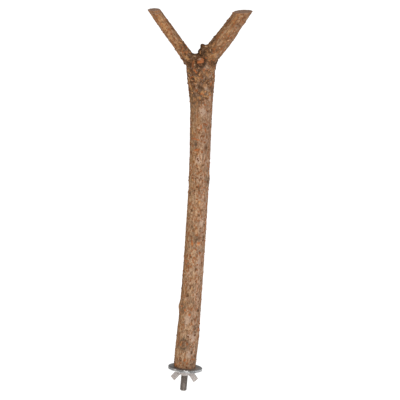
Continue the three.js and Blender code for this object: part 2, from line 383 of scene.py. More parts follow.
RUSTY_CHAFES = (
    (1.2, 228, 1.6, 0.7, 0),
    (1.5, 252, 1.4, 0.8, 0),
    (1.2, 281, 1.8, 0.7, 0),
    (1.6, 303, 1.2, 0.8, 0),
    (24, 268, 0.7, 1.8, 0.2),
    (23.5, 273, 0.6, 1.5, -0.2),
    (2.6, 212, 1.3, 1.5, 0),
    (9.2, 266, 1.1, 1.1, 0),
    (9.8, 322, 1, 1.1, 0),
    (22.2, 234, 1.1, 1.4, 0.4),
    (36, 333, 1.4, 1.5, 0),
    (49.5, 270, 1.2, 1.2, 0),
    (53.3, 243, 1, 1, 0),
    (96, 218, 1, 1.6, 0),
    (113, 253, 1.1, 1.5, 0),
    (113.6, 291, 1.7, 1.1, 0),
    (133, 337, 0.8, 5, 0),
    (147, 330, 0.9, 2.6, 0),
    (196.6, 257, 1.3, 1, 0),
    (204.8, 215, 1.2, 1, 0),
    (205.6, 226, 1.9, 0.8, 0),
    (205.8, 241, 1.7, 0.7, 0),
    (205.4, 256, 1.8, 0.7, 0),
    (195.8, 243, 1.4, 0.8, 0),
    (217, 272, 0.7, 1.7, 0),
    (215, 297, 0.8, 1.4, 0),
)
GOLDEN_CHIPS = (
    (2.8, 211, 1.1, 1, 0),
    (9.8, 322, 1, 1, 0),
    (22.4, 234, 1.1, 1.7, 0.3),
    (24.5, 238, 0.8, 0.8, 0),
    (53, 243, 0.9, 0.8, 0),
    (73, 270, 0.7, 1.2, 0),
    (83, 304, 0.8, 1.1, 0),
    (112.6, 254, 1.2, 1.2, 0),
    (112.4, 288, 1.5, 0.9, 0),
    (150, 282, 1, 1.4, 0),
    (170, 230, 1, 1.8, 0),
    (212, 222, 1, 2, 0),
)
PALE_PATCHES = (
    (14, 285, 2.4, 3, 0),
    (29, 300, 2.2, 3.4, 0),
    (46, 262, 3, 4, 0),
    (97, 300, 1.8, 3, 0),
    (132, 300, 2, 3.4, 0),
    (187, 262, 2.4, 3.4, 0),
    (31.5, 276, 1.8, 1.6, 0),
    (42, 255, 1.4, 2.6, 0),
    (231, 277, 2.8, 3.4, 0),
)
# The same round the fork and up the arms, on the side that faces -Y: x, z, half width, half
# length and slant.
DARK_AT_FORK = (
    (-0.5, 272.5, 3, 2.8, 0),
    (-2.8, 274.8, 1.8, 1.2, 0),
    (-18.5, 265.5, 1.2, 3.2, 0.6),
    (-21.5, 271.5, 2.2, 2.6, 0.3),
    (-16, 253, 1.7, 4.4, 0.6),
    (-17.5, 255.5, 1.6, 1.6, 0),
    (-10, 263, 1.3, 1.5, 0),
    (-8, 261.5, 0.9, 1.6, -0.4),
    (-5.5, 260.5, 0.8, 1.8, 0),
    (-13.5, 256.5, 1.2, 0.7, 0),
    (-8, 252, 0.9, 0.9, 0),
    (-1, 252.5, 1.2, 1.1, 0),
    (-3.5, 243, 2.6, 0.8, -0.15),
    (-8, 240.5, 0.8, 0.9, 0),
    (-11.5, 247.5, 0.9, 0.8, 0),
    (-2.5, 255.5, 1.2, 0.8, 0),
    (-4, 257, 1.2, 0.9, 0),
    (-8, 276.5, 1.1, 2.8, 0),
    (-5.5, 278, 1.8, 1.1, 0),
    (0.5, 273, 2.4, 2.2, 0.3),
    (-2, 274.5, 1.6, 1.2, 0),
    (-13, 272.5, 2.4, 0.8, 0),
    (-9.5, 273, 1.2, 1, 0),
    (-14.5, 274.5, 0.8, 1.8, 0),
    (-20, 275, 1, 1.6, 0),
    (-22.5, 278.5, 1.2, 1.2, 0.5),
    (-13.5, 282, 0.9, 1.8, 0),
    (-10.5, 282.5, 0.9, 1.3, 0),
    (-12, 285.5, 0.8, 1.6, 0),
    (-9.5, 287.5, 1, 1.8, 0),
    (-6, 285, 1.4, 1.2, 0),
    (2.5, 286.5, 2, 1.4, 0.4),
    (5, 289, 1, 1, 0),
    (-3, 291, 1, 1.8, -0.6),
    (10.5, 294.5, 0.9, 0.8, 0),
    (9, 296.5, 1.6, 0.7, 0),
    (19.5, 312.5, 0.8, 0.8, 0),
    (16.5, 310, 0.9, 0.9, 0),
    (19.5, 309.5, 0.8, 0.8, 0),
    (17, 308, 1, 0.6, 0),
    (22, 316.5, 1.1, 0.9, 0.7),
    (7.5, 307.5, 1, 1.2, -0.8),
    (10.5, 313, 0.8, 2, -0.8),
    (-55.5, 312, 1, 1.2, 0.3),
    (-52.5, 309, 1.2, 0.9, 0),
    (-49, 307.5, 0.8, 0.8, 0),
    (-44, 305.5, 1.2, 1.1, 0),
    (-41.5, 304, 1.2, 2.4, 0.8),
    (-46, 310, 0.9, 2.2, 0.8),
    (-37.5, 299, 0.7, 1.8, 0.8),
    (-42.5, 296.5, 0.9, 0.9, 0),
    (-36, 294.5, 0.8, 0.9, 0),
    (-40, 293, 1.2, 0.9, 0.5),
    (-34, 286.5, 1.2, 1, 0),
    (-26, 286.5, 0.8, 1.8, 0.8),
    (-36, 289, 0.9, 0.9, 0),
    (-43, 293, 0.8, 1.2, 0.8),
)
RUSTY_AT_FORK = (
    (-15, 266.5, 1.9, 1.6, 0.5),
    (-14, 265, 0.9, 1.4, 0),
    (-8, 246.5, 1.8, 0.6, 0),
    (-18.5, 259.5, 1, 1, 0),
    (-12.5, 248.5, 0.8, 1.2, 0),
    (-7.5, 268, 1, 1.3, -0.3),
    (2, 268.5, 0.9, 3, 0),
    (1.5, 263, 0.9, 3, 0),
    (-19.5, 252.5, 0.9, 1.2, 0),
    (-0.5, 245.5, 1, 0.9, 0),
    (-0.5, 255, 0.8, 1.6, 0),
    (-24.5, 280, 1.2, 1.3, 0.5),
    (-17.5, 270, 1.2, 2, -0.3),
    (7.5, 319, 1.2, 0.8, 0),
    (2, 297, 0.8, 2.8, -0.7),
    (16.5, 307, 1.3, 0.9, -0.3),
    (9, 300.5, 0.8, 0.8, 0),
    (-0.5, 286, 1, 0.9, 0),
    (-55.5, 314, 4.2, 0.7, -0.1),
    (-59.5, 314.5, 1.2, 1.1, 0),
    (19, 320.5, 3.5, 0.8, 0.1),
    (27, 321.5, 0.9, 1.4, 0),
    (-44.5, 306.5, 0.9, 1.2, 0),
    (-48.5, 302.5, 1, 1.4, 0.8),
)
GOLDEN_AT_FORK = (
    (-20.5, 265, 0.9, 3, 0),
    (-23, 276, 1.6, 2.6, 0.4),
    (-17.5, 250, 1.3, 2.6, 0.3),
    (-14.5, 259.5, 1, 2.8, 0.4),
    (-4.5, 261.5, 0.9, 2.4, 0),
    (-4.5, 258, 0.7, 1, -0.3),
    (-7.5, 249, 1.3, 1.8, -0.2),
    (-7, 247, 1.9, 0.7, 0),
    (-5, 245, 2, 1, 0.2),
    (-2.5, 244, 1.4, 0.7, 0.1),
    (-1, 247.5, 1.2, 1.1, 0),
    (-9.5, 242, 1.6, 1.9, -0.2),
    (-13.5, 272, 1.2, 0.9, 0),
    (0.5, 279, 1.6, 1.8, 0),
    (0.5, 281.5, 1.3, 1.7, 0),
    (-1.5, 290, 0.9, 2.4, -0.7),
    (14.5, 314, 1.1, 5.5, -0.6),
    (11, 304, 1.1, 4, -0.6),
    (8.5, 294, 1, 1, 0),
    (5, 298.5, 0.8, 2.6, -0.6),
    (18, 319, 2, 1, 0),
    (-49.5, 307, 2, 3, 0.8),
    (-45.5, 300, 1.6, 4, 0.8),
    (-39.5, 292.5, 1.4, 3.5, 0.8),
    (-54.5, 313.5, 1.6, 1, 0),
    (-32, 285.5, 1.3, 3.5, 0.8),
)
PALE_AT_FORK = (
    (2.5, 280.5, 1.8, 1.6, 0),
    (-6.5, 271, 2.6, 3.8, -0.2),
    (-4.5, 270, 1.4, 1.8, 0),
    (-1.5, 263, 0.8, 2.4, -0.3),
    (-13.5, 254.5, 1, 1, 0),
    (-13, 251.5, 1.1, 1.2, 0),
    (-4, 251, 1.9, 1.8, 0.2),
    (-4.5, 247, 0.8, 0.7, 0),
    (-3, 246, 1, 0.6, 0.3),
    (-0.5, 242.5, 1, 2.5, 0.1),
    (-9, 255.5, 0.8, 1.3, -0.3),
    (-7, 260, 0.8, 1.6, 0),
    (17, 309, 0.8, 0.8, 0),
    (21, 310, 0.7, 0.9, 0),
    (9.5, 310, 0.7, 0.9, 0),
    (11.5, 295.5, 1.2, 0.8, 0.4),
)
BACK_MARKS = 34  # more of each kind on the far side of the stem
BACK_SEED = 11
FORK_MARKS_FROM = 225 * MM  # the far side's marks round the fork lie above this height

ragged = swell(along_grain(1.5, 2.2), 5) + 0.6 * swell(along_grain(0.8, 1), 6)

back_chance = np.random.default_rng(BACK_SEED)


def with_back(marks):
    """The listed marks, and more at random on the far side of the stem."""
    more = [
        (
            back_chance.uniform(8, 262),
            back_chance.uniform(-15, 195),
            back_chance.uniform(0.7, 1.7),
            back_chance.uniform(1, 2.8),
            back_chance.uniform(-0.3, 0.3),
        )
        for _ in range(BACK_MARKS)
    ]
    return list(marks) + more


def gathered(marks):
    """1 in the stem's marks of one kind, front and back, and 0 outside."""
    total = np.zeros(len(skin_points))
    for at_height, angle, across, along, slant in with_back(marks):
        total = np.maximum(total, spot(at_height, angle, across, along, slant))
    return total * stem_part


def facing_spot(x, z, across, along, slant, side):
    """1 in an irregular patch on the side that faces -Y (-1) or +Y (1), and 0 outside."""
    aside = skin_points[:, 0] / MM - x
    up = skin_points[:, 2] / MM - z
    aside, up = aside + slant * up, up - slant * aside
    distance = np.hypot(aside / across, up / along) / math.hypot(1, slant)
    inside = near(distance + 0.35 * ragged, 0.6, 1.3)
    return inside * (side * skin_normals[:, 1] > -0.15) * (1 - 0.45 * arm_share.sum(0))


def at_fork(marks):
    """The listed marks, and as many on the far side, picked at random on the skin."""
    total = np.zeros(len(skin_points))
    for x, z, across, along, slant in marks:
        total = np.maximum(total, facing_spot(x, z, across, along, slant, -1))
    far_side = np.flatnonzero((skin_normals[:, 1] > 0.1) & (height > FORK_MARKS_FROM))
    for pick in back_chance.choice(far_side, len(marks)):
        x, _, z = skin_points[pick] / MM
        sizes = back_chance.uniform(0.8, 2, 2)
        total = np.maximum(total, facing_spot(x, z, *sizes, 0, 1))
    return total


dark = np.maximum(gathered(DARK_SCARS), at_fork(DARK_AT_FORK))
rusty = np.maximum(gathered(RUSTY_CHAFES), at_fork(RUSTY_AT_FORK))
pale = np.maximum(gathered(PALE_PATCHES), at_fork(PALE_AT_FORK))
golden = np.maximum(gathered(GOLDEN_CHIPS), at_fork(GOLDEN_AT_FORK))

knot_height = np.zeros(len(skin_points))
knot_slate = np.zeros(len(skin_points))
for at_height, angle, size, ring_shade in KNOTS:
    aside, up = aside_and_up(at_height, angle)
    distance = np.hypot(aside, up * 0.85) * (1 + 0.16 * ragged)
    near_knot = np.exp(-((distance / size) ** 2)) * stem_part
    rings = np.cos(distance * 2 * math.pi / (0.42 * size))
    edge_ring = np.exp(-(((distance / size - 0.72) / 0.2) ** 2)) * stem_part
    core_distance = np.hypot(aside / (0.3 * size), up / (0.62 * size)) * (1 + 0.4 * ragged)
    core = np.exp(-(core_distance**2)) * stem_part
    knot_height += (0.2 * rings * near_knot - 0.5 * core) * MM
    shade = (0.95 - 0.55 * ring_shade) * core + ring_shade * edge_ring * (0.85 + 0.3 * ragged)
    knot_slate = np.maximum(knot_slate, np.clip(shade, 0, 1))

# How rough the skin is: most of all in the crotch and on the broken stump. From both, the
# roughness fades with the distance in mm.
CROTCH = fork_point + np.array([2, 0, 15]) * MM
NOTCH = fork_point + np.array([-1.3, 0, 12.2]) * MM  # the floor between the arm and the stump
FILL_MOST = 3.4 * MM
from_crotch = np.linalg.norm((skin_points - CROTCH) * [1, 0.9, 0.85], axis=1) / MM
crotch = near(from_crotch, 5, 10.5)
from_fork = np.linalg.norm((skin_points - fork_point) * [1, 1, 0.55], axis=1) / MM
rugged = near(from_fork, 10, 26)

# Old bark and dirt have filled the bottom of the notch, highest along its middle.
in_notch = (skin_points - NOTCH) / MM
fill = NOTCH[2] - 0.09 * in_notch[:, 1] ** 2 * MM + 0.6 * MM * ragged - skin_points[:, 2]
fill += 0.5 * np.clip(in_notch[:, 0] - 1.2, 0, 3) * MM
fill = np.clip(fill, 0, FILL_MOST) * near(np.abs(in_notch[:, 0] - 0.6), 3.2, 4.6)
skin_points[:, 2] += fill * eased(skin_normals[:, 2], 0.2, 0.5)

# The pruned stub looks forward and up: a peg of orange bark with a small grey end, in a crease.
# The crease's shadow, on the stub's lower right and round its foot, is painted shade in the
# bark's colour. Lengths are in mm from the middle of its end.
STUB_END = fork_point + np.array([3, -12.5, 10]) * MM
STUB_LOOK = np.array([0, -0.747, 0.665])
STUB_UP = np.array([0, 0.665, 0.747])
STUB_RADIUS = 3.4
from_end = (skin_points - STUB_END) / MM
stub_along = from_end @ STUB_LOOK
stub_up = from_end @ STUB_UP
stub_reach = np.hypot(from_end[:, 0], stub_up)
on_stub = near(stub_reach, STUB_RADIUS, 3.9) * eased(stub_along, -3.4, -2.6)
face_reach = np.hypot(from_end[:, 0] + 1, stub_up - 1)
stub_face = on_stub * near(face_reach, 1.5, 2.3) * (stub_along > -1.6)
# Painted shadow: the crease is darkest on the stub's lower right, and a ring of it lies round the
# stub's foot.
low_right = np.clip(0.7 + 0.45 * (from_end[:, 0] - stub_up) / np.maximum(stub_reach, 0.1), 0, 1)
stub_crease_and_shadow = eased(stub_reach, 3.3, 3.8) * near(stub_reach, 4.7, 5.8)
stub_crease_and_shadow *= low_right * (np.abs(stub_along + 3) < 4)
stub_foot = near(stub_reach, 4, 4.6) * eased(-stub_along, 2.6, 3.4)
stub_crease_and_shadow = np.maximum(stub_crease_and_shadow, 0.8 * stub_foot * (stub_along > -7))

# Where the wood has healed thicker, under the right arm and at the foot of the stump: x and z
# from the fork, how far the swelling reaches and how thick it is, in mm. The collar is a patch
# of dark broken bark on the first.
SWELLINGS = ((15.6, 5.8, 3, 1.5), (2.4, 14, 2.4, 1.3))
swelling = np.zeros(len(skin_points))
for x, z, spread, thickness in SWELLINGS:
    off = ((skin_points - fork_point) / MM - np.array([x, 0, z])) * [1, 0.4, 1]
    swelling += thickness * np.exp(-((off**2).sum(1)) / spread**2)
collar = np.clip(1.8 * facing_spot(0.6, 274, 3, 2.4, 0.2, -1), 0, 1)

away_from_cut = eased(to_cut, 0.35 * MM, 1.1 * MM)
cut = (to_cut < 0.32 * MM).astype(float)

crooked = np.column_stack([ragged, -ragged, ragged])
plate_level, plate_edge = plates(along_grain(2.5, 3.4) + 0.35 * crooked, 21)
scale_level = plates(along_grain(1.5, 2.2) + 0.2 * ragged[:, None], 22)[0]
crack = near(plate_edge, 0.02, 0.16)

wrinkle = 0.13 * swell(along_grain(1.8, 9), 31) + 0.1 * swell(along_grain(1.5, 2.6), 32)
wave = 0.16 * swell(along_grain(9, 26), 33) + 0.2 * swell(along_grain(4.2, 5.5), 36)
flaky = rugged * (0.34 * plate_level - 0.5 * crack + 0.2 * scale_level)
scaly = (1 - rugged) * (0.06 * plate_level + 0.08 * scale_level - 0.1 * crack)
jagged = crotch * (swell(skin_points / (2.6 * MM), 34) + 0.55 * swell(skin_points / MM, 35))
rough = (wrinkle + wave + flaky + scaly + jagged) * (1 - 0.7 * on_stub)
marks_height = 0.12 * pale - 0.2 * dark - 0.1 * rusty + 0.15 * golden
dome = 0.8 * on_stub * (1 - (stub_reach / 4) ** 2)
relief = (rough + marks_height + dome - 0.5 * stub_face - 0.7 * stub_crease_and_shadow + swelling) * MM
relief = (relief + knot_height) * away_from_cut

skin_points = skin_points + skin_normals * relief[:, None]
skin_points = np.clip(skin_points, np.array(cad_low), np.array(cad_high))
branch.data.vertices.foreach_set("co", skin_points.ravel())
branch.data.polygons.foreach_set("use_smooth", [True] * len(branch.data.polygons))
branch.data.update()


def remember(mesh, name, values):
    """Keeps a value or a vector for each point of a mesh, for its materials to read."""
    kind = "FLOAT" if values.ndim == 1 else "FLOAT_VECTOR"
    attribute = mesh.attributes.new(name, kind, "POINT")
    key = "value" if values.ndim == 1 else "vector"
    attribute.data.foreach_set(key, values.astype(np.float32).ravel())


around_limb = np.column_stack([-np.sin(turn), np.cos(turn), np.zeros(len(turn))])
for share, limb in zip(arm_share, LIMBS[1:]):
    leaning = share > 0
    around_limb[leaning] = straightened(
        around_limb[leaning], np.zeros(3), arm_line[limb][1], -share[leaning]
    )
crowded = np.clip(0.5 + 0.5 * swell(along_grain(7, 12), 41), 0, 1)
clear_of_stub = 1 - on_stub
stub_rust = (1 + 0.25 * ragged) * on_stub * (1 - stub_face)
for name, values in {
    "grain": grain,
    "around": around_limb,
    # The stub's crease adds painted shadow to the dark and crotch marks.
    "dark": np.clip((dark + 0.5 * crotch) * clear_of_stub + stub_crease_and_shadow, 0, 1),
    "rusty": np.maximum(rusty * clear_of_stub, stub_rust),
    "pale": np.maximum(pale * clear_of_stub, 0.8 * stub_face),
    "rugged": rugged * clear_of_stub,
    "golden": golden * clear_of_stub,
    "crotch": np.max([crotch * clear_of_stub, 0.9 * stub_crease_and_shadow, collar], axis=0),
    "slate": knot_slate,
    "plate": plate_level,
    "crack": crack,
    "scale": scale_level,
    "facing_x": skin_normals[:, 0],
    "arm": arm_share.sum(0),
    "right_arm": arm_share[1],
    "relief": relief / MM,
    "cut": cut,
    "pore_room": crowded * away_from_cut * (1 - crotch),
    "flake_room": rugged * away_from_cut * clear_of_stub,
}.items():
    remember(branch.data, name, values)


# Bark is dry and dull. Its colours run in streaks along the grain, over broad warm and grey
# patches, with dark cracks and knots and small rusty chafes.


def put(tree, kind, *wires, **settings):
    """A new node of a tree. Each wire is an input and the value or socket that feeds it."""
    made = tree.nodes.new(kind)
    for name, value in settings.items():
        setattr(made, name, value)
    for key, value in wires:
        if isinstance(value, bpy.types.NodeSocket):
            tree.links.new(value, made.inputs[key])
        else:
            made.inputs[key].default_value = value
    return made


def maths(tree, operation, *values):
    return put(tree, "ShaderNodeMath", *enumerate(values), operation=operation).outputs[0]


def times(tree, value, amount):
    return maths(tree, "MULTIPLY", value, amount)


def ranged(tree, value, low, high, to_low=0.0, to_high=1.0):
    """A value between two limits, eased onto another range."""
    wires = ((0, value), (1, low), (2, high), (3, to_low), (4, to_high))
    return put(tree, "ShaderNodeMapRange", *wires, interpolation_type="SMOOTHSTEP").outputs[0]


def over(tree, amount, below, above):
    """One colour laid over another."""
    wires = ((0, amount), (6, below), (7, above))
    return put(tree, "ShaderNodeMix", *wires, data_type="RGBA").outputs[2]


def layered(tree, colour, *layers):
    """A colour with others laid over it in turn, each by its own amount."""
    for amount, above in layers:
        colour = over(tree, amount, colour, above)
    return colour


def vectored(tree, operation, *values):
    return put(tree, "ShaderNodeVectorMath", *enumerate(values), operation=operation)


def joined_xyz(tree, *values):
    return put(tree, "ShaderNodeCombineXYZ", *enumerate(values)).outputs[0]


def split_xyz(tree, vector):
    return put(tree, "ShaderNodeSeparateXYZ", (0, vector)).outputs


def shader_group(name, takes, gives):
    """An empty shader node group with named inputs and outputs."""
    group = bpy.data.node_groups.new(name, "ShaderNodeTree")
    for socket_name, kind, value in takes:
        socket = group.interface.new_socket(socket_name, in_out="INPUT", socket_type=kind)
        if value is not None:
            socket.default_value = value
    for socket_name, kind in gives:
        group.interface.new_socket(socket_name, in_out="OUTPUT", socket_type=kind)
    return group, put(group, "NodeGroupInput").outputs, put(group, "NodeGroupOutput").inputs


streaks, takes, gives = shader_group(
    "Streaks along the grain",
    (
        ("Grain", "NodeSocketVector", None),
        ("Across", "NodeSocketFloat", 500.0),
        ("Along", "NodeSocketFloat", 60.0),
        ("Low", "NodeSocketFloat", 0.45),
        ("High", "NodeSocketFloat", 0.7),
    ),
    (("Streak", "NodeSocketFloat"),),
)
stretch = joined_xyz(streaks, takes["Across"], takes["Across"], takes["Along"])
stretched = vectored(streaks, "MULTIPLY", takes["Grain"], stretch)
fibres = put(
    streaks,
    "ShaderNodeTexNoise",
    ("Vector", stretched.outputs[0]),
    ("Scale", 1.0),
    ("Detail", 4.0),
    ("Roughness", 0.62),
)
streaks.links.new(
    ranged(streaks, fibres.outputs["Fac"], takes["Low"], takes["High"]), gives["Streak"]
)

blotches, takes, gives = shader_group(
    "Blotches",
    (
        ("Vector", "NodeSocketVector", None),
        ("Scale", "NodeSocketFloat", 100.0),
        ("Low", "NodeSocketFloat", 0.45),
        ("High", "NodeSocketFloat", 0.6),
    ),
    (("Blotch", "NodeSocketFloat"),),
)
cloud = put(
    blotches,
    "ShaderNodeTexNoise",
    ("Vector", takes["Vector"]),
    ("Scale", takes["Scale"]),
    ("Detail", 5.0),
    ("Roughness", 0.6),
    ("Distortion", 0.4),
)
blotches.links.new(
    ranged(blotches, cloud.outputs["Fac"], takes["Low"], takes["High"]), gives["Blotch"]
)

specks, takes, gives = shader_group(
    "Specks",
    (
        ("Vector", "NodeSocketVector", None),
        ("Scale", "NodeSocketFloat", 400.0),
        ("Size", "NodeSocketFloat", 0.3),
        ("Share", "NodeSocketFloat", 0.5),
    ),
    (("Speck", "NodeSocketFloat"), ("Tone", "NodeSocketFloat")),
)
dots = put(
    specks,
    "ShaderNodeTexVoronoi",
    ("Vector", takes["Vector"]),
    ("Scale", takes["Scale"]),
    ("Randomness", 1.0),
)
tone = put(specks, "ShaderNodeSeparateColor", (0, dots.outputs["Color"]))
kept_dots = maths(specks, "LESS_THAN", tone.outputs[1], takes["Share"])
near_dot = ranged(
    specks, dots.outputs["Distance"], takes["Size"], times(specks, takes["Size"], 0.4)
)
specks.links.new(times(specks, kept_dots, near_dot), gives["Speck"])
specks.links.new(tone.outputs[0], gives["Tone"])


def grouped(tree, group, *wires):
    return put(tree, "ShaderNodeGroup", *wires, node_tree=group).outputs


def streaked(tree, place, across, along, low=0.45, high=0.7):
    """Streaks along Z. Across and along say how many there are to a metre."""
    wires = (("Grain", place), ("Across", across), ("Along", along), ("Low", low), ("High", high))
    return grouped(tree, streaks, *wires)["Streak"]


def blotched(tree, place, scale, low=0.45, high=0.6):
    wires = (("Vector", place), ("Scale", scale), ("Low", low), ("High", high))
    return grouped(tree, blotches, *wires)["Blotch"]


def specked(tree, place, scale, share):
    """Small round specks, and a random tone for each."""
    made = grouped(tree, specks, ("Vector", place), ("Scale", scale), ("Share", share))
    return made["Speck"], made["Tone"]


def named(tree, attribute, output="Fac"):
    """What the mesh remembers under a name."""
    made = put(tree, "ShaderNodeAttribute", attribute_name=attribute, attribute_type="GEOMETRY")
    return made.outputs[output]


def object_place(tree):
    return put(tree, "ShaderNodeTexCoord").outputs["Object"]


def bumped(tree, shader, strength, depth, level):
    """Small relief on a finish, deepest at the given depth."""
    wires = (("Strength", strength), ("Distance", depth), ("Height", level))
    tree.links.new(put(tree, "ShaderNodeBump", *wires).outputs[0], shader["Normal"])


def new_material(name, **values):
    """A material with one Principled shader, whose plain values are given by socket name."""
    material = bpy.data.materials.new(name)
    material.use_nodes = True
    shader = material.node_tree.nodes["Principled BSDF"]
    for key, value in values.items():
        shader.inputs[key.replace("_", " ")].default_value = value
    return material, material.node_tree, shader.inputs


BARK_TAN = (0.33, 0.2, 0.113, 1)
BARK_ORANGE = (0.3, 0.142, 0.054, 1)
BARK_MAUVE = (0.285, 0.192, 0.158, 1)
BARK_OLIVE = (0.225, 0.12, 0.03, 1)
BARK_PALE = (0.4, 0.3, 0.235, 1)
BARK_GREY = (0.33, 0.222, 0.155, 1)
BARK_UMBER = (0.085, 0.04, 0.018, 1)
BARK_SLATE = (0.1, 0.07, 0.045, 1)
BARK_BROWN = (0.12, 0.05, 0.02, 1)
BARK_REDDISH = (0.21, 0.068, 0.02, 1)
BARK_CREAM = (0.5, 0.34, 0.215, 1)
BARK_GOLD = (0.47, 0.245, 0.095, 1)
BARK_BLACK = (0.04, 0.024, 0.014, 1)
BARK_RUST = (0.37, 0.105, 0.027, 1)
SAWN_WOOD = (0.33, 0.208, 0.147, 1)
SAWN_RING = (0.19, 0.118, 0.082, 1)

GRAIN_SHIFT = (7, 3, 5)  # moves some of the patterns off the others
RING_WIDTH = 0.9 * MM  # of the growth rings in the sawn ends
AGED_FROM, AGED_TO = 0.15, 0.262  # the bark darkens over these heights

bark, tree, shader = new_material("bark", Roughness=0.9, Specular_IOR_Level=0.08)


def marked(tree, attribute, amount):
    """How strongly the bark shows one kind of mark."""
    return times(tree, named(tree, attribute), amount)


grain_at = named(tree, "grain", "Vector")
shifted = vectored(tree, "ADD", grain_at, GRAIN_SHIFT).outputs[0]
broad = streaked(tree, grain_at, 330, 55)
thin = streaked(tree, grain_at, 900, 260, high=0.62)
light = streaked(tree, shifted, 700, 190, high=0.62)
rust_fleck = streaked(tree, shifted, 620, 360, 0.53, 0.585)
warm = blotched(tree, grain_at, 85)
cool = blotched(tree, shifted, 130)
mottle = blotched(tree, grain_at, 640, low=0.48)
fleck = blotched(tree, shifted, 700, low=0.52)
speck, speck_tone = specked(tree, grain_at, 480, 0.4)
speck_colour = over(tree, speck_tone, BARK_UMBER, BARK_RUST)

# Painted light: the +X side of the stem is tinted mauve grey and the -X side olive tan, as if a
# cool lamp lit one side and a warm lamp the other.
on_stem = maths(tree, "MULTIPLY_ADD", named(tree, "arm"), -0.6, 1.0)
facing_x = named(tree, "facing_x")
cool_lit_side = times(tree, ranged(tree, facing_x, -0.15, 0.5), times(tree, on_stem, 0.36))
warm_lit_side = times(tree, ranged(tree, facing_x, -0.35, -0.95), times(tree, on_stem, 0.4))

plate = named(tree, "plate")
plate_colour = over(tree, ranged(tree, plate, -0.7, 0.1), BARK_UMBER, BARK_ORANGE)
plate_colour = over(tree, ranged(tree, plate, 0.6, 1.1), plate_colour, BARK_GOLD)
scale = named(tree, "scale")
scale_colour = over(tree, ranged(tree, scale, -0.5, 0.2), BARK_BLACK, BARK_UMBER)
scaled = times(tree, ranged(tree, scale, -0.15, -0.5), marked(tree, "rugged", 0.75))
cracked = times(tree, named(tree, "crack"), marked(tree, "rugged", 0.45))
# Painted shade: the bark is darker where its relief is sunk.
sunk_shade = ranged(tree, named(tree, "relief"), 0.1, -0.45)
grain_x, grain_y, grain_z = split_xyz(tree, grain_at)
aged = ranged(tree, grain_z, AGED_FROM, AGED_TO)

colour = layered(
    tree,
    BARK_TAN,
    (times(tree, warm, 0.6), BARK_ORANGE),
    (times(tree, cool, 0.6), BARK_GREY),
    (marked(tree, "arm", 0.62), BARK_ORANGE),
    (times(tree, broad, 0.35), BARK_UMBER),
    (marked(tree, "right_arm", 0.3), BARK_UMBER),
    (cool_lit_side, BARK_MAUVE),
    (warm_lit_side, BARK_OLIVE),
    (times(tree, broad, marked(tree, "arm", 0.45)), BARK_UMBER),
    (times(tree, light, 0.48), BARK_CREAM),
    (times(tree, thin, 0.6), BARK_UMBER),
    (times(tree, times(tree, mottle, 0.3), on_stem), BARK_UMBER),
    (times(tree, times(tree, fleck, 0.34), on_stem), BARK_CREAM),
    (times(tree, rust_fleck, 0.78), BARK_REDDISH),
    (times(tree, speck, 0.6), speck_colour),
    (marked(tree, "rugged", 0.5), plate_colour),
    (scaled, scale_colour),
    (cracked, BARK_UMBER),
    (marked(tree, "slate", 0.95), BARK_SLATE),
    (marked(tree, "pale", 0.5), BARK_PALE),
    (marked(tree, "golden", 0.6), BARK_GOLD),
    (marked(tree, "rusty", 0.75), BARK_RUST),
    (marked(tree, "dark", 0.85), BARK_BROWN),
    (marked(tree, "crotch", 0.7), BARK_BLACK),
    (times(tree, sunk_shade, 0.5), BARK_BLACK),
    (times(tree, aged, 0.22), BARK_UMBER),
)

# The sawn ends show the wood and its growth rings.
ring_reach = vectored(tree, "LENGTH", joined_xyz(tree, grain_x, grain_y)).outputs["Value"]
ring_wave = maths(tree, "SINE", times(tree, ring_reach, 2 * math.pi / RING_WIDTH))
wood = over(tree, ranged(tree, ring_wave, -0.4, 1.0), SAWN_WOOD, SAWN_RING)
wood = over(tree, times(tree, mottle, 0.35), wood, BARK_UMBER)
tree.links.new(over(tree, named(tree, "cut"), colour, wood), shader["Base Color"])
bumped(tree, shader, 0.5, 0.12 * MM, maths(tree, "SUBTRACT", times(tree, mottle, 0.6), thin))

branch.data.materials.clear()
branch.data.materials.append(bark)
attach(branch, "perch")
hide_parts(*LIMBS)

# ---------------------------------------------------------------- the bark's pores
# Hundreds of corky pores stand a little proud of the bark, each a low oval bead, most of them
# rusty brown. They are scattered over the bark and left off the sawn ends.


def shape_group(name, takes):
    """An empty Geometry Nodes tree with named inputs and one geometry output."""
    tree = bpy.data.node_groups.new(name, "GeometryNodeTree")
    tree.is_modifier = True
    tree.interface.new_socket("Geometry", in_out="INPUT", socket_type="NodeSocketGeometry")
    tree.interface.new_socket("Geometry", in_out="OUTPUT", socket_type="NodeSocketGeometry")
    for socket_name, kind in takes:
        tree.interface.new_socket(socket_name, in_out="INPUT", socket_type=kind)
    return tree, put(tree, "NodeGroupInput").outputs, put(tree, "NodeGroupOutput").inputs[0]


def shaped(name, base, tree, sizes):
    """The plain mesh that a tree makes of a base mesh with the given sizes, as a new piece."""
    piece = new_piece(name, base)
    modifier = piece.modifiers.new("shape", "NODES")
    modifier.node_group = tree
    for item in tree.interface.items_tree:
        if item.in_out == "INPUT" and item.name in sizes:
            modifier[item.identifier] = sizes[item.name]
    depsgraph = bpy.context.evaluated_depsgraph_get()
    mesh = bpy.data.meshes.new_from_object(piece.evaluated_get(depsgraph))
    piece.modifiers.clear()
    piece.data = mesh
    return piece


def attribute_of(tree, name, kind="FLOAT"):
    made = put(tree, "GeometryNodeInputNamedAttribute", ("Name", name), data_type=kind)
    return made.outputs["Attribute"]


def chance(tree, low, high, seed):
    wires = ((2, low), (3, high), ("Seed", seed))
    return put(tree, "FunctionNodeRandomValue", *wires, data_type="FLOAT").outputs[1]


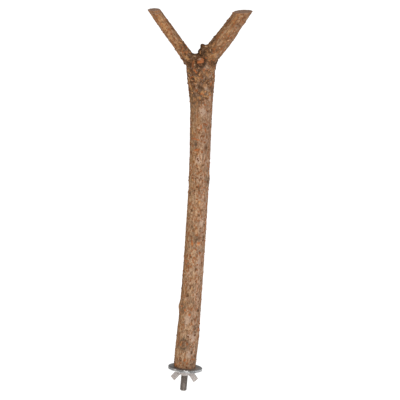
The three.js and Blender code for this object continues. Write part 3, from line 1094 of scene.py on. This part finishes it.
def scattered_on_bark(tree, takes, room, sway):
    """Points on the skin, spaced apart, each turned to lie flat on the bark."""
    points = put(
        tree,
        "GeometryNodeDistributePointsOnFaces",
        ("Mesh", takes["Geometry"]),
        ("Distance Min", takes["Spacing"]),
        ("Density Max", takes["Density"]),
        ("Density Factor", room),
        ("Seed", takes["Seed"]),
        distribute_method="POISSON",
    )
    upright_turn = put(
        tree,
        "FunctionNodeAlignRotationToVector",
        ("Vector", points.outputs["Normal"]),
        axis="Z",
    )
    flat_turn = put(
        tree,
        "FunctionNodeAlignRotationToVector",
        ("Rotation", upright_turn.outputs[0]),
        ("Vector", attribute_of(tree, "around", "FLOAT_VECTOR")),
        axis="X",
        pivot_axis="Z",
    )
    lift, sideways = sway
    sway_turn = joined_xyz(
        tree, chance(tree, 0.0, lift, 3), 0.0, chance(tree, -sideways, sideways, 4)
    )
    turned = put(
        tree,
        "FunctionNodeRotateRotation",
        ("Rotation", flat_turn.outputs[0]),
        ("Rotate By", sway_turn),
        rotation_space="LOCAL",
    )
    return points.outputs["Points"], turned.outputs[0]


def finished(tree, takes, gives, shape):
    """Makes a shape real, gives it its finish, and sends it out of the tree."""
    real = put(tree, "GeometryNodeRealizeInstances", ("Geometry", shape))
    wires = (("Geometry", real.outputs[0]), ("Material", takes["Finish"]))
    tree.links.new(put(tree, "GeometryNodeSetMaterial", *wires).outputs[0], gives)


def noted(tree, shape, name, value, domain):
    """A shape that carries a value for its material to read."""
    wires = (("Geometry", shape), ("Name", name), ("Value", value))
    made = put(tree, "GeometryNodeStoreNamedAttribute", *wires, data_type="FLOAT", domain=domain)
    return made.outputs[0]


def planted(tree, takes, gives, room, sway, shape, share):
    """Copies of a shape scattered on the bark, each with a size and a tone of its own."""
    points, turned = scattered_on_bark(tree, takes, room, sway)
    sizes = [times(tree, takes[name], share) for name in ("Length", "Width", "Rise")]
    copies = put(
        tree,
        "GeometryNodeInstanceOnPoints",
        ("Points", points),
        ("Instance", shape),
        ("Rotation", turned),
        ("Scale", joined_xyz(tree, *sizes)),
    )
    tone = chance(tree, 0.0, 1.0, 5)
    finished(tree, takes, gives, noted(tree, copies.outputs[0], "tone", tone, "INSTANCE"))


SCATTER_SOCKETS = (
    ("Spacing", "NodeSocketFloat"),
    ("Density", "NodeSocketFloat"),
    ("Length", "NodeSocketFloat"),
    ("Width", "NodeSocketFloat"),
    ("Rise", "NodeSocketFloat"),
    ("Seed", "NodeSocketInt"),
    ("Finish", "NodeSocketMaterial"),
)
pore_tree, takes, gives = shape_group("pores_on_bark", SCATTER_SOCKETS)
bead = put(pore_tree, "GeometryNodeMeshUVSphere", ("Segments", 8), ("Rings", 5), ("Radius", 1.0))
smooth_bead = put(pore_tree, "GeometryNodeSetShadeSmooth", ("Geometry", bead.outputs[0]))
pore_share = maths(pore_tree, "POWER", chance(pore_tree, 0.0, 1.0, 1), 2.0)
pore_share = maths(pore_tree, "MULTIPLY_ADD", pore_share, 1.1, 0.55)
pore_room = attribute_of(pore_tree, "pore_room")
planted(pore_tree, takes, gives, pore_room, (0.0, 1.5), smooth_bead.outputs[0], pore_share)

PORE_RUST = (0.28, 0.085, 0.025, 1)
PORE_BROWN = (0.12, 0.045, 0.018, 1)
PORE_PALE = (0.38, 0.22, 0.12, 1)

pore_cork, tree, shader = new_material("pore_cork", Roughness=0.85, Specular_IOR_Level=0.25)
tone = named(tree, "tone")
cork = blotched(tree, object_place(tree), 900)
colour = layered(
    tree,
    PORE_BROWN,
    (ranged(tree, tone, 0.25, 0.6), PORE_RUST),
    (ranged(tree, tone, 0.86, 0.9), PORE_PALE),
    (times(tree, cork, 0.5), PORE_BROWN),
)
tree.links.new(colour, shader["Base Color"])
bumped(tree, shader, 0.4, 0.1 * MM, cork)

pores = shaped(
    "pores",
    branch.data.copy(),
    pore_tree,
    {
        "Spacing": 1.4 * MM,
        "Density": 260000.0,
        "Length": 0.7 * MM,
        "Width": 0.5 * MM,
        "Rise": 0.24 * MM,
        "Seed": 7,
        "Finish": pore_cork,
    },
)
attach(pores, "perch")

# ---------------------------------------------------------------- loose flakes of bark
# Round the fork the outer bark has dried into thin curled flakes. Each is a small chip, held
# by one side, with the other lifted clear of the branch.

flake_tree, takes, gives = shape_group(
    "flakes_on_bark", SCATTER_SOCKETS + (("Thickness", "NodeSocketFloat"),)
)
sheet = put(
    flake_tree,
    "GeometryNodeMeshGrid",
    ("Size X", 2.0),
    ("Size Y", 2.0),
    ("Vertices X", 6),
    ("Vertices Y", 4),
)
sheet_x, sheet_y, _ = split_xyz(
    flake_tree, put(flake_tree, "GeometryNodeInputPosition").outputs[0]
)
along_squared = times(flake_tree, sheet_x, sheet_x)
pointed = maths(flake_tree, "MULTIPLY_ADD", along_squared, -0.7, 1.0)
lifted = maths(flake_tree, "MULTIPLY_ADD", along_squared, -0.8, 0.4)
curled = joined_xyz(flake_tree, sheet_x, times(flake_tree, sheet_y, pointed), lifted)
curled_sheet = put(
    flake_tree,
    "GeometryNodeSetPosition",
    ("Geometry", sheet.outputs[0]),
    ("Position", curled),
)
thick = put(
    flake_tree,
    "GeometryNodeExtrudeMesh",
    ("Mesh", curled_sheet.outputs[0]),
    ("Offset Scale", takes["Thickness"]),
    ("Individual", False),
)
underside = put(flake_tree, "GeometryNodeFlipFaces", ("Mesh", curled_sheet.outputs[0]))
both = put(flake_tree, "GeometryNodeJoinGeometry")
for part in (underside, thick):
    flake_tree.links.new(part.outputs[0], both.inputs[0])
chip = put(
    flake_tree, "GeometryNodeMergeByDistance", ("Geometry", both.outputs[0]), ("Distance", 0.001)
)
flake_share = chance(flake_tree, 0.5, 1.2, 1)
flake_room = attribute_of(flake_tree, "flake_room")
planted(flake_tree, takes, gives, flake_room, (0.5, 1.6), chip.outputs[0], flake_share)

FLAKE_CREAM = (0.3, 0.19, 0.112, 1)
FLAKE_ORANGE = (0.33, 0.155, 0.06, 1)
FLAKE_DARK = (0.12, 0.068, 0.04, 1)

flake_bark, tree, shader = new_material("flake_bark", Roughness=0.85, Specular_IOR_Level=0.25)
tone = named(tree, "tone")
stain = blotched(tree, object_place(tree), 500)
colour = layered(
    tree,
    FLAKE_DARK,
    (ranged(tree, tone, 0.5, 0.55), FLAKE_ORANGE),
    (ranged(tree, tone, 0.8, 0.85), FLAKE_CREAM),
    (times(tree, stain, 0.6), FLAKE_DARK),
)
tree.links.new(colour, shader["Base Color"])
bumped(tree, shader, 0.5, 0.1 * MM, stain)

flakes = shaped(
    "bark_flakes",
    branch.data.copy(),
    flake_tree,
    {
        "Spacing": 2.6 * MM,
        "Density": 150000.0,
        "Length": 1.25 * MM,
        "Width": 0.75 * MM,
        "Rise": 0.6 * MM,
        "Thickness": 0.35,
        "Seed": 3,
        "Finish": flake_bark,
    },
)
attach(flakes, "perch")

# ---------------------------------------------------------------- the hanger bolt
# A dull steel rod, rolled with a fine machine thread below and a coarse wood thread on the
# part that is screwed up into the branch. The free end is chamfered.

bolt_low, bolt_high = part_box("hanger_bolt")
bolt_tree, takes, gives = shape_group(
    "rolled_threads",
    (
        ("Bottom", "NodeSocketFloat"),
        ("Length", "NodeSocketFloat"),
        ("Machine Top", "NodeSocketFloat"),
        ("Crest Radius", "NodeSocketFloat"),
        ("Root Radius", "NodeSocketFloat"),
        ("Pitch", "NodeSocketFloat"),
        ("Chamfer", "NodeSocketFloat"),
        ("Wood Radius", "NodeSocketFloat"),
        ("Wood Root", "NodeSocketFloat"),
        ("Wood Pitch", "NodeSocketFloat"),
        ("Sides", "NodeSocketInt"),
        ("Rows", "NodeSocketInt"),
        ("Finish", "NodeSocketMaterial"),
    ),
)
rod = put(
    bolt_tree,
    "GeometryNodeMeshCylinder",
    ("Vertices", takes["Sides"]),
    ("Side Segments", takes["Rows"]),
    ("Radius", 1.0),
    ("Depth", takes["Length"]),
    fill_type="TRIANGLE_FAN",
)
rod_x, rod_y, rod_z = split_xyz(
    bolt_tree, put(bolt_tree, "GeometryNodeInputPosition").outputs[0]
)
rod_middle = maths(bolt_tree, "ADD", takes["Bottom"], times(bolt_tree, takes["Length"], 0.5))
rod_height = maths(bolt_tree, "ADD", rod_z, rod_middle)
rod_turn = maths(bolt_tree, "DIVIDE", maths(bolt_tree, "ARCTAN2", rod_y, rod_x), 2 * math.pi)
MACHINE_FLANK = (0.08, 0.42)  # the slope of a thread starts and ends at these parts of a pitch
WOOD_FLANK = (0.3, 0.48)
POINT_SLOPE = 0.55
POINT_RADIUS = 0.05 * MM


def ridge(pitch, flank):
    """0 in the root of a right-hand thread and 1 on its crest."""
    climb = maths(bolt_tree, "SUBTRACT", maths(bolt_tree, "DIVIDE", rod_height, pitch), rod_turn)
    phase = maths(bolt_tree, "SUBTRACT", maths(bolt_tree, "FRACT", climb), 0.5)
    return ranged(bolt_tree, maths(bolt_tree, "ABSOLUTE", phase), *flank)


def threaded(root, crest, height_of_ridge):
    """The radius of a thread between its root and its crest."""
    depth = maths(bolt_tree, "SUBTRACT", crest, root)
    return maths(bolt_tree, "MULTIPLY_ADD", height_of_ridge, depth, root)


machine_ridge = ridge(takes["Pitch"], MACHINE_FLANK)
machine = threaded(takes["Root Radius"], takes["Crest Radius"], machine_ridge)
end_radius = maths(bolt_tree, "SUBTRACT", takes["Crest Radius"], takes["Chamfer"])
above_end = maths(bolt_tree, "SUBTRACT", rod_height, takes["Bottom"])
machine = maths(bolt_tree, "MINIMUM", machine, maths(bolt_tree, "ADD", end_radius, above_end))
wood_ridge = ridge(takes["Wood Pitch"], WOOD_FLANK)
wood_thread = threaded(takes["Wood Root"], takes["Wood Radius"], wood_ridge)
rod_top = maths(bolt_tree, "ADD", takes["Bottom"], takes["Length"])
to_point = maths(bolt_tree, "SUBTRACT", rod_top, rod_height)
cone = maths(bolt_tree, "MULTIPLY_ADD", to_point, POINT_SLOPE, POINT_RADIUS)
wood_thread = maths(bolt_tree, "MINIMUM", wood_thread, cone)
in_wood = maths(bolt_tree, "GREATER_THAN", rod_height, takes["Machine Top"])
wires = ((0, in_wood), (2, machine), (3, wood_thread))
rod_radius = put(bolt_tree, "ShaderNodeMix", *wires, data_type="FLOAT").outputs[0]
rod_across = times(bolt_tree, rod_x, rod_radius)
rod_place = joined_xyz(bolt_tree, rod_across, times(bolt_tree, rod_y, rod_radius), rod_height)
cut_rod = put(
    bolt_tree,
    "GeometryNodeSetPosition",
    ("Geometry", noted(bolt_tree, rod.outputs[0], "crest", machine_ridge, "POINT")),
    ("Position", rod_place),
)
finished(bolt_tree, takes, gives, cut_rod.outputs[0])

STEEL_DULL = (0.1, 0.08, 0.066, 1)
STEEL_WORN = (0.26, 0.225, 0.205, 1)
STEEL_GRIME_AND_SHADE = (0.045, 0.034, 0.027, 1)

dull_steel, tree, shader = new_material("dull_steel", Metallic=0.75, Roughness=0.5)
place = object_place(tree)
tarnish = blotched(tree, place, 420)
grit = specked(tree, place, 1300, 0.4)[0]
crest = named(tree, "crest")
colour = layered(
    tree,
    STEEL_DULL,
    # The thread is lighter on its crests and darker in its roots.
    (times(tree, crest, 0.75), STEEL_WORN),
    (times(tree, ranged(tree, crest, 0.35, 0.0), 0.85), STEEL_GRIME_AND_SHADE),
    (times(tree, tarnish, 0.5), STEEL_DULL),
    (times(tree, grit, 0.5), STEEL_GRIME_AND_SHADE),
)
tree.links.new(colour, shader["Base Color"])
tree.links.new(ranged(tree, tarnish, 0.0, 1.0, 0.4, 0.65), shader["Roughness"])

hanger_bolt = shaped(
    "threaded_hanger_bolt",
    bpy.data.meshes.new("rod"),
    bolt_tree,
    {
        "Bottom": bolt_low.z,
        "Length": bolt_high.z - bolt_low.z,
        "Machine Top": 0.8 * MM,
        "Crest Radius": bolt_high.x,
        "Root Radius": 2.78 * MM,
        "Pitch": 1 * MM,
        "Chamfer": 0.8 * MM,
        "Wood Radius": 2.7 * MM,
        "Wood Root": 2 * MM,
        "Wood Pitch": 2.5 * MM,
        "Sides": 36,
        "Rows": 430,
        "Finish": dull_steel,
    },
)
hanger_bolt.data.shade_smooth()
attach(hanger_bolt, "perch")
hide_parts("hanger_bolt")

# ---------------------------------------------------------------- the two washers
# Wide flat washers punched from steel strip and zinc plated. The punch leaves the upper edges
# rolled over and the lower ones sharp. The rims carry a painted highlight over rubbed wear, the
# seam between the washers is painted shade, and the upper washer has bark dust round the foot of
# the branch, partly painted contact shade.

WASHER_SIDES = 120
ROLLED_EDGE = 0.34 * MM
SHARP_EDGE = 0.1 * MM
ARC_STEPS = 4
RIM_BAND = (0.5 * MM, 0.1 * MM)  # how far in from the rim the painted highlight and the wear reach
SEAM_BAND = (0.1 * MM, 0.36 * MM)  # how far the painted shade of the seam reaches onto either washer
# The band of bark dust and painted contact shade round the branch's foot, by distance from the
# axis.
DUST_SHADE_EDGE = 12.2 * MM
DUST_SHADE_FULL = 9 * MM


def rounded_corner(radius, level, out, up, size):
    """The arc that rounds one corner of a washer's section, from its rim to its flat face."""
    arc = []
    for step in range(ARC_STEPS + 1):
        angle = math.pi / 2 * step / ARC_STEPS
        across = radius - out * size * (1 - math.cos(angle))
        arc.append((across, level - up * size * (1 - math.sin(angle))))
    return arc


def punched_washer(name, node, hole):
    low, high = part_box(node)
    rim = high.x
    section = rounded_corner(rim, high.z, 1, 1, ROLLED_EDGE)
    section += rounded_corner(hole, high.z, -1, 1, ROLLED_EDGE)[::-1]
    section += rounded_corner(hole, low.z, -1, -1, SHARP_EDGE)
    section += rounded_corner(rim, low.z, 1, -1, SHARP_EDGE)[::-1]
    count = len(section)
    points = []
    faces = []
    for side in range(WASHER_SIDES):
        angle = 2 * math.pi * side / WASHER_SIDES
        points += [(r * math.cos(angle), r * math.sin(angle), z) for r, z in section]
        here, there = side * count, (side + 1) % WASHER_SIDES * count
        for step in range(count):
            after = (step + 1) % count
            faces.append((here + step, here + after, there + after, there + step))
    mesh = bpy.data.meshes.new(name)
    mesh.from_pydata(points, [], faces)
    bm = bmesh.new()
    bm.from_mesh(mesh)
    bmesh.ops.recalc_face_normals(bm, faces=bm.faces)
    bm.to_mesh(mesh)
    bm.free()
    mesh.shade_smooth()
    mesh.set_sharp_from_angle(angle=math.radians(40))
    radius = np.linalg.norm(read_points(mesh)[:, :2], axis=1)
    level = np.abs(read_points(mesh)[:, 2])
    remember(mesh, "rim", eased(radius, rim - RIM_BAND[0], rim - RIM_BAND[1]))
    remember(mesh, "seam", near(level, *SEAM_BAND))
    return new_piece(name, mesh)


ZINC_GREY = (0.085, 0.082, 0.072, 1)
ZINC_LIGHT = (0.15, 0.15, 0.158, 1)
ZINC_BRIGHT = (0.6, 0.605, 0.61, 1)
BARK_DUST_AND_SHADE = (0.16, 0.105, 0.065, 1)


def zinc_plate(name, dust_and_shade):
    """Satin zinc plate, its rims brightened by a painted highlight over wear. The last argument
    is how much bark dust and painted contact shade lie on it.
    """
    material, tree, shader = new_material(name, Metallic=0.85, Roughness=0.42)
    place = object_place(tree)
    spangle = blotched(tree, place, 260, high=0.62)
    scuffs = blotched(tree, place, 800, low=0.5)
    rim_breakup = blotched(tree, place, 110, 0.4, 0.55)
    grit = specked(tree, place, 700, 0.3)[0]
    # Painted highlight: the rims are brightened in broken patches, over some rubbed wear.
    wear_and_highlight = times(tree, named(tree, "rim"), ranged(tree, rim_breakup, 0.0, 1.0, 0.25, 1.0))
    across, deep, _ = split_xyz(tree, place)
    from_axis = vectored(tree, "LENGTH", joined_xyz(tree, across, deep)).outputs["Value"]
    # Bark dust round the foot of the branch, partly painted contact shade where the branch stands
    # on the washer.
    uneven = maths(tree, "MULTIPLY_ADD", spangle, -2.2 * MM, from_axis)
    dust_and_contact_shade = ranged(tree, uneven, DUST_SHADE_EDGE, DUST_SHADE_FULL, 0.0, dust_and_shade)
    colour = layered(
        tree,
        ZINC_GREY,
        (spangle, ZINC_LIGHT),
        (times(tree, scuffs, 0.3), ZINC_BRIGHT),
        (wear_and_highlight, ZINC_BRIGHT),
        # Painted shade in the seam where the two washers meet.
        (times(tree, named(tree, "seam"), 0.55), STEEL_GRIME_AND_SHADE),
        (dust_and_contact_shade, BARK_DUST_AND_SHADE),
        (times(tree, grit, 0.6 * dust_and_shade), BARK_DUST_AND_SHADE),
    )
    tree.links.new(colour, shader["Base Color"])
    tree.links.new(ranged(tree, dust_and_contact_shade, 0.0, 1.0, 0.85, 0.1), shader["Metallic"])
    tree.links.new(ranged(tree, scuffs, 0.0, 1.0, 0.36, 0.55), shader["Roughness"])
    bumped(tree, shader, 0.25, 0.05 * MM, scuffs)
    return material


WASHER_HOLE = 3.3 * MM
for name, node, body, dust_and_shade in (
    ("upper_washer_plated", "upper_washer", "perch", 0.9),
    ("lower_washer_plated", "lower_washer", "washer_on_nut", 0.15),
):
    washer = punched_washer(name, node, WASHER_HOLE)
    washer.data.materials.append(zinc_plate(name, dust_and_shade))
    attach(washer, body)
    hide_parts(node)

# ---------------------------------------------------------------- the wing nut
# Die-cast zinc alloy: a tapered hub and two flat wings with square ends, all its edges and
# corners softly rounded, with a matt warm grey skin.

NUT_GRID = 0.22 * MM
NUT_ROUNDING = 7

cast_mesh = bpy.data.meshes.new("wing_nut_cast")
nut_copy = merged_copy("wing_nut")
nut_copy.to_mesh(cast_mesh)
nut_copy.free()
wing_nut = new_piece("cast_wing_nut", cast_mesh)
wing_nut.data = remeshed(wing_nut, NUT_GRID)
nut_points = read_points(wing_nut.data)
nut_points = evened(nut_points, read_edges(wing_nut.data), 1.0, NUT_ROUNDING)
nut_low, nut_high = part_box("wing_nut")
nut_points = np.clip(nut_points, np.array(nut_low), np.array(nut_high))
wing_nut.data.vertices.foreach_set("co", nut_points.ravel())
wing_nut.data.update()
wing_nut.data.shade_smooth()

CAST_GREY = (0.42, 0.38, 0.36, 1)
CAST_WARM = (0.36, 0.32, 0.3, 1)
CAST_BRIGHT = (0.54, 0.51, 0.5, 1)

cast_zinc, tree, shader = new_material("cast_zinc", Metallic=0.35, Roughness=0.6)
place = object_place(tree)
cast_skin = blotched(tree, place, 330)
wear_and_highlight = blotched(tree, place, 900, 0.55, 0.7)
grit = specked(tree, place, 900, 0.12)[0]
colour = layered(
    tree,
    CAST_GREY,
    (cast_skin, CAST_WARM),
    (times(tree, wear_and_highlight, 0.5), CAST_BRIGHT),
    (times(tree, grit, 0.4), STEEL_DULL),
)
tree.links.new(colour, shader["Base Color"])
tree.links.new(ranged(tree, cast_skin, 0.0, 1.0, 0.55, 0.68), shader["Roughness"])
bumped(tree, shader, 0.3, 0.06 * MM, cast_skin)
wing_nut.data.materials.clear()
wing_nut.data.materials.append(cast_zinc)
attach(wing_nut, "nut")
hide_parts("wing_nut")

# ---------------------------------------------------------------- floor, light and camera
# A pale studio sweep well below the perch, broad soft lamps in front of it, and a long lens
# that looks slightly down.

VIEW_RISE = math.radians(12)
VIEW_ROLL = math.radians(5.3)
VIEW_WIDTH = 0.348
LENS = 600
SENSOR = 36
CLIP_END = 100
LOOK_AT = Vector((-0.0007, 0, 0.1508))
FLOOR_HALF = 20
FLOOR_LEVEL = -0.5
FLOOR_WHITE = (0.9, 0.9, 0.9, 1)
FLOOR_GLOW = 0.75
SKY_WHITE = (1, 1, 1, 1)
SKY_STRENGTH = 0.41
LAMPS = (  # name, place, size, power and colour
    ("key", (0.15, -1.2, 0.9), 0.9, 17.2, (1, 0.98, 0.96)),
    ("left_fill", (-1.3, -0.5, 0.3), 0.8, 1.7, (1, 0.74, 0.42)),
    ("right_fill", (1.3, -0.5, 0.3), 0.8, 2.8, (0.88, 0.9, 1)),
)

camera_data = bpy.data.cameras.new("camera")
camera_data.lens = LENS
camera_data.sensor_width = SENSOR
camera = bpy.data.objects.new("camera", camera_data)
bpy.context.scene.collection.objects.link(camera)
back = Vector((0, -math.cos(VIEW_RISE), math.sin(VIEW_RISE)))
camera.location = LOOK_AT + back * (VIEW_WIDTH * LENS / SENSOR)
tilt = Matrix.Rotation(math.pi / 2 - VIEW_RISE, 3, "X")
camera.rotation_euler = (tilt @ Matrix.Rotation(VIEW_ROLL, 3, "Z")).to_euler()
camera_data.clip_end = CLIP_END
bpy.context.scene.camera = camera

floor_mesh = bpy.data.meshes.new("floor")
floor_corners = [
    (x * FLOOR_HALF, y * FLOOR_HALF, FLOOR_LEVEL) for x, y in ((-1, -1), (1, -1), (1, 1), (-1, 1))
]
floor_mesh.from_pydata(floor_corners, [], [(0, 1, 2, 3)])
floor = new_piece("floor", floor_mesh)
floor_white, tree, shader = new_material("floor_white", Roughness=0.9)
shader["Base Color"].default_value = FLOOR_WHITE
shader["Emission Color"].default_value = SKY_WHITE
shader["Emission Strength"].default_value = FLOOR_GLOW
floor.data.materials.append(floor_white)

world = bpy.data.worlds.new("soft_white")
world.use_nodes = True
sky = world.node_tree.nodes["Background"].inputs
sky["Color"].default_value = SKY_WHITE
sky["Strength"].default_value = SKY_STRENGTH
bpy.context.scene.world = world
bpy.context.scene.view_settings.view_transform = "Standard"

for name, place, size, power, colour in LAMPS:
    data = bpy.data.lights.new(name, "AREA")
    data.shape = "SQUARE"
    data.size = size
    data.energy = power
    data.color = colour
    lamp = bpy.data.objects.new(name, data)
    bpy.context.scene.collection.objects.link(lamp)
    lamp.location = place
    lamp.rotation_euler = (LOOK_AT - Vector(place)).to_track_quat("-Z", "Y").to_euler()
